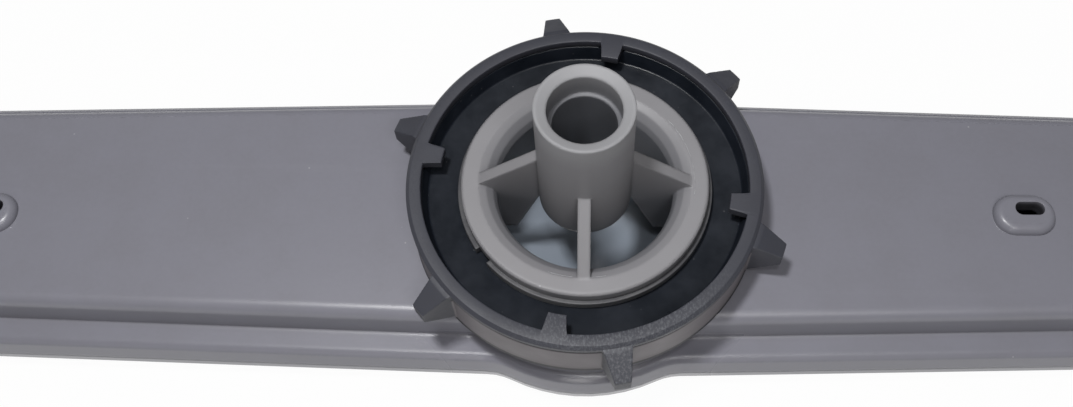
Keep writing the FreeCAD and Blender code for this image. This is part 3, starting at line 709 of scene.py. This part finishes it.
def make_nozzle_domes(material):
    """Smoothly rolled domes round the two spray slots, one skin each, sunk a little into the plateau."""
    form = Form("nozzle_domes", {
        "Steps Round": DOME_STEPS,
        "Dome Length": (DOME_LENGTH + 2 * DOME_PROUD) * MM,
        "Dome Width": (DOME_WIDTH + 2 * DOME_PROUD) * MM,
        "Dome Roll": DOME_ROLL * MM,
        "Slot Length": (SLOT_HALF_LENGTH - SLOT_INSET) * 2 * MM,
        "Slot Width": (SLOT_HALF_WIDTH - SLOT_INSET) * 2 * MM,
    })
    place = form.node("GeometryNodeInputPosition", {})
    at_roll = form.reckon("LESS_THAN", form.part(place, "X"), MARGIN * MM)
    at_roll = at_roll * form.reckon("GREATER_THAN", form.part(place, "Z"), MM)
    sheet, around, corner = form.spread_outline(at_roll * DOME_ROLL_STEPS, form.size("Dome Roll") * at_roll)
    inward = form.part(corner, "X")
    height = form.part(corner, "Z")
    x, y, out_x, out_y = form.oval(form.size("Dome Length"), form.size("Dome Width"), around)
    slot_x, slot_y, _, _ = form.oval(form.size("Slot Length"), form.size("Slot Width"), around)
    in_slot = form.reckon("GREATER_THAN", inward, SLOT_ROW * MM)
    on_dome = 1.0 - in_slot
    x = (x - out_x * inward) * on_dome + (slot_x + DOME_SHIFT * MM) * in_slot
    y = (y - out_y * inward) * on_dome + (slot_y + DOME_SHIFT * MM) * in_slot
    dome = form.settle(sheet, x, y, height + PLATEAU * MM)
    domes = form.node("GeometryNodeJoinGeometry", {})
    for slot_middle_x, slot_middle_y in UPPER_SLOTS:
        shift = ((slot_middle_x - DOME_SHIFT) * MM, (slot_middle_y - DOME_SHIFT) * MM, 0.0)
        moved = form.node("GeometryNodeTransform", {}, Geometry=dome, Translation=shift)
        form.feed(domes.socket.node.inputs[0], moved)
    corners = [
        (0.0, -DOME_SUNK), (0.0, DOME_RISE), (DOME_ROLL + PAST_ROLL, DOME_RISE), (SLOT_RIM_ROW, DOME_RISE),
        (SLOT_RIM_ROW, -DOME_SUNK)]
    return form.make(domes, corners, material, "arm", "arm_grey", [])


def make_flash_threads(material):
    """Fine threads of moulding flash that stand on the hub's flange round the throat."""
    form = Form("throat_flash", {
        "Thread Radius": FLASH_RADIUS * MM,
    })
    arcs = form.node("GeometryNodeJoinGeometry", {})
    for reach, start, sweep in FLASH_ARCS:
        arc = form.node("GeometryNodeCurveArc", {"mode": "RADIUS"}, Resolution=FLASH_STEPS, Radius=reach * MM,
                        Start_Angle=math.radians(start), Sweep_Angle=math.radians(sweep))
        form.feed(arcs.socket.node.inputs[0], arc)
    index = form.node("GeometryNodeInputIndex", {})
    waver = form.reckon("SINE", index * FLASH_WAVER_TURN) * (FLASH_RADIUS * FLASH_WAVER * MM)
    lift = form.node("ShaderNodeCombineXYZ", {}, waver, waver * FLASH_WAVER_ACROSS, FLANGE_TOP * MM)
    lifted = form.node("GeometryNodeSetPosition", {}, Geometry=arcs, Offset=lift)
    ring = form.node("GeometryNodeCurvePrimitiveCircle", {"mode": "RADIUS"}, Resolution=FLASH_SIDES,
                     Radius=form.size("Thread Radius"))
    thread = form.node("GeometryNodeCurveToMesh", {}, Curve=lifted, Profile_Curve=ring, Fill_Caps=True)
    return form.make(thread, [], material, "arm", "hub_grey", [])


def dress(node, material):
    """Give a node its finish."""
    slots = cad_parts[node].data.materials
    slots.clear()
    slots.append(material)


def add_camera():
    """The photograph's own viewpoint."""
    azimuth = math.radians(AZIMUTH)
    elevation = math.radians(ELEVATION)
    roll = math.radians(ROLL)
    back = Vector((math.sin(azimuth) * math.cos(elevation),
                   -math.cos(azimuth) * math.cos(elevation), math.sin(elevation)))
    level_right = Vector((math.cos(azimuth), math.sin(azimuth), 0.0))
    level_up = back.cross(level_right)
    right = level_right * math.cos(roll) + level_up * math.sin(roll)
    up = level_up * math.cos(roll) - level_right * math.sin(roll)
    data = bpy.data.cameras.new("photo_camera")
    data.sensor_width = SENSOR_MM
    data.lens = SENSOR_MM * FOCAL_PIXELS / PHOTO_WIDTH
    data.shift_x = (PHOTO_WIDTH / 2 - LOOK_AT_PIXEL[0]) / PHOTO_WIDTH
    data.shift_y = (LOOK_AT_PIXEL[1] - PHOTO_HEIGHT / 2) / PHOTO_WIDTH
    data.clip_start = CLIP_START
    camera = bpy.data.objects.new("photo_camera", data)
    turn = Matrix((right, up, back)).transposed()
    camera.matrix_world = Matrix.Translation(LOOK_AT + back * DISTANCE) @ turn.to_4x4()
    bpy.context.scene.collection.objects.link(camera)
    bpy.context.scene.camera = camera


def add_lamp(name, place, aim, size, power, colour=(1.0, 1.0, 1.0)):
    """A soft square lamp."""
    data = bpy.data.lights.new(name, "AREA")
    data.size = size
    data.energy = power
    data.color = colour
    lamp = bpy.data.objects.new(name, data)
    lamp.location = place
    lamp.rotation_euler = (Vector(aim) - Vector(place)).to_track_quat("-Z", "Y").to_euler()
    bpy.context.scene.collection.objects.link(lamp)


def add_ground():
    """A white bench top that glows, so that only a light shadow stays on it."""
    mesh = bpy.data.meshes.new("bench_top")
    edge = BENCH_REACH
    corners = [(-edge, -edge), (edge, -edge), (edge, edge), (-edge, edge)]
    mesh.from_pydata([(x, y, -BENCH_DROP) for x, y in corners], [], [(0, 1, 2, 3)])
    ground = bpy.data.objects.new("bench_top", mesh)
    bpy.context.scene.collection.objects.link(ground)
    material = bpy.data.materials.new("bench_white")
    material.use_nodes = True
    paint = Nodes(material.node_tree)
    shader = paint.tree.nodes["Principled BSDF"]
    paint.feed(shader.inputs["Base Color"], BENCH_WHITE)
    paint.feed(shader.inputs["Roughness"], BENCH_ROUGHNESS)
    glow = paint.node("ShaderNodeEmission", {}, Strength=1.0)
    share = paint.seen_by("Is Glossy Ray") * BENCH_GLOW
    mix = paint.node("ShaderNodeMixShader", {}, share, Wire(paint, shader.outputs["BSDF"]), glow)
    paint.feed(paint.tree.nodes["Material Output"].inputs["Surface"], mix)
    mesh.materials.append(material)


def set_world():
    """White to the camera, an even grey for the light."""
    world = bpy.data.worlds.new("studio")
    bpy.context.scene.world = world
    world.use_nodes = True
    sky = Nodes(world.node_tree)
    background = sky.tree.nodes["Background"]
    sky.feed(background.inputs["Color"], (1.0, 1.0, 1.0))
    strength = sky.seen_by("Is Transmission Ray") * (1.0 - SKY_LIGHT) + SKY_LIGHT
    sky.feed(background.inputs["Strength"], strength)


arm_grey = arm_plastic("arm_grey_plastic")
dress("upper_shell", arm_grey)
make_nozzle_domes(arm_grey)
dress("spray_shell", arm_plastic("arm_grey_washed_inside", lit_floor=True))
dress("hub", hub_plastic())
make_flash_threads(flash_plastic())
make_ring_nut(nut_plastic())
make_channel_seal(seal_rubber())
dress("slide_ring", slide_plastic())

add_camera()
add_ground()
set_world()
add_lamp("high_lamp", place=(-0.08, -0.02, 0.46), aim=(0.0, 0.0, 0.03), size=0.05, power=1.40)
add_lamp("glint_lamp", place=(0.0, -0.13, 0.46), aim=(0.0, -0.04, 0.012), size=0.03, power=0.26)
add_lamp("front_lamp", place=(0.12, -0.36, 0.56), aim=(0.0, 0.0, 0.02), size=0.20, power=0.90,
         colour=(1.0, 0.99, 0.98))
add_lamp("low_window", place=(-0.03, -0.60, 0.27), aim=(0.0, 0.0, 0.02), size=0.12, power=0.27,
         colour=(1.0, 0.98, 0.95))
bpy.context.scene.view_settings.view_transform = "Standard"
